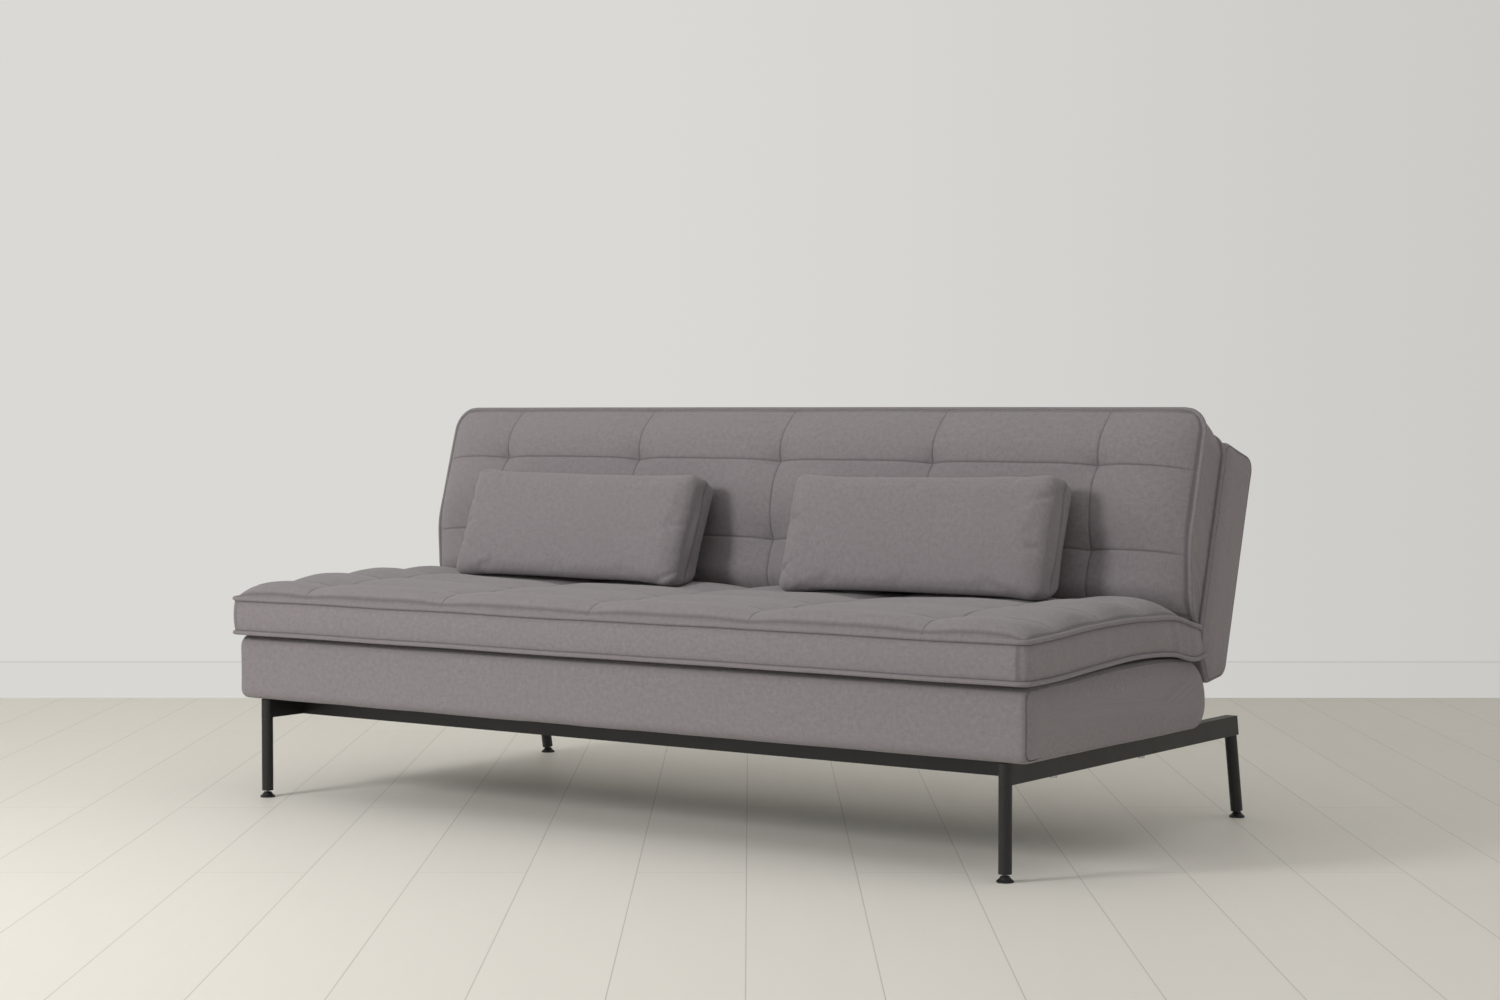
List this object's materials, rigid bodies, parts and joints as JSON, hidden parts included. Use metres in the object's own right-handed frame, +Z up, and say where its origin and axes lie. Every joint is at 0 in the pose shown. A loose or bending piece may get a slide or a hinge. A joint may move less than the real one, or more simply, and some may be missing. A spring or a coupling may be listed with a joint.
{
  "type": "futon sofa bed",
  "caption": "Click-clack futon sofa bed: quilted futon on an upholstered seat box and reclining back, slim steel base with levelling feet, two lumbar cushions",
  "frame": {"origin": "on the floor, under the middle of the sofa's bounding box", "axes": "+X to the right of someone who faces the sofa, +Y from the front of the seat to the back, +Z up"},
  "size_m": [2, 1.0204, 0.8519],
  "materials": {
    "frame_steel": "satin",
    "bright_steel": "satin",
    "foot_plastic": "satin",
    "timber": "matte",
    "upholstery": "matte",
    "lining": "matte"
  },
  "bodies": {
    "frame": {"foot_stem_front_left": "bright_steel", "foot_stem_front_right": "bright_steel", "foot_stem_rear_left": "bright_steel", "foot_stem_rear_right": "bright_steel", "front_beam": "frame_steel", "hinge_pin_left": "bright_steel", "hinge_pin_right": "bright_steel", "leg_front_left": "frame_steel", "leg_front_right": "frame_steel", "leg_plug_front_left": "foot_plastic", "leg_plug_front_right": "foot_plastic", "leg_plug_rear_left": "foot_plastic", "leg_plug_rear_right": "foot_plastic", "leg_rear_left": "frame_steel", "leg_rear_right": "frame_steel", "leg_stub_left": "frame_steel", "leg_stub_right": "frame_steel", "rail_end_left": "frame_steel", "rail_end_right": "frame_steel", "rear_beam": "frame_steel", "seat_bolt_front_left": "bright_steel", "seat_bolt_front_right": "bright_steel", "seat_bolt_rear_left": "bright_steel", "seat_bolt_rear_right": "bright_steel", "seat_brace": "timber", "seat_cover": "upholstery", "seat_dust_cover": "lining", "seat_front_timber": "timber", "seat_hinge_left": "frame_steel", "seat_hinge_right": "frame_steel", "seat_pad": "upholstery", "seat_rear_timber": "timber", "seat_side_timber_left": "timber", "seat_side_timber_right": "timber", "seat_spring_left_1": "bright_steel", "seat_spring_left_2": "bright_steel", "seat_spring_right_1": "bright_steel", "seat_spring_right_2": "bright_steel", "side_rail_left": "frame_steel", "side_rail_right": "frame_steel"},
    "back": {"back_brace": "timber", "back_cover": "upholstery", "back_hinge_left": "frame_steel", "back_hinge_right": "frame_steel", "back_lining": "lining", "back_lower_timber": "timber", "back_pad": "upholstery", "back_side_timber_left": "timber", "back_side_timber_right": "timber", "back_spring_left_1": "bright_steel", "back_spring_left_2": "bright_steel", "back_spring_right_1": "bright_steel", "back_spring_right_2": "bright_steel", "back_upper_timber": "timber"},
    "cushion_left": {"cushion_left": "upholstery"},
    "cushion_right": {"cushion_right": "upholstery"},
    "foot_front_left": {"foot_front_left": "foot_plastic"},
    "foot_front_right": {"foot_front_right": "foot_plastic"},
    "foot_rear_left": {"foot_rear_left": "foot_plastic"},
    "foot_rear_right": {"foot_rear_right": "foot_plastic"}
  },
  "joints": [
    {"name": "back_recline", "type": "hinge", "parent": "frame", "child": "back", "pos_m": [0, 0.24277, 0.2856], "axis": [-1, 0, 0], "range_deg": [0, 73.5]},
    {"name": "cushion_left_lift", "type": "slide", "parent": "frame", "child": "cushion_left", "axis": [0, 0, 1], "range_m": [0, 0.35]},
    {"name": "cushion_right_lift", "type": "slide", "parent": "frame", "child": "cushion_right", "axis": [0, 0, 1], "range_m": [0, 0.35]},
    {"name": "foot_front_left_swivel", "type": "hinge", "parent": "frame", "child": "foot_front_left", "pos_m": [-0.93, -0.46523, 0.008], "axis": [0, 0, 1], "continuous": true},
    {"name": "foot_front_right_swivel", "type": "hinge", "parent": "frame", "child": "foot_front_right", "pos_m": [0.93, -0.46523, 0.008], "axis": [0, 0, 1], "continuous": true},
    {"name": "foot_rear_left_swivel", "type": "hinge", "parent": "frame", "child": "foot_rear_left", "pos_m": [-0.93, 0.49423, 0.008], "axis": [0, 0, 1], "continuous": true},
    {"name": "foot_rear_right_swivel", "type": "hinge", "parent": "frame", "child": "foot_rear_right", "pos_m": [0.93, 0.49423, 0.008], "axis": [0, 0, 1], "continuous": true}
  ]
}
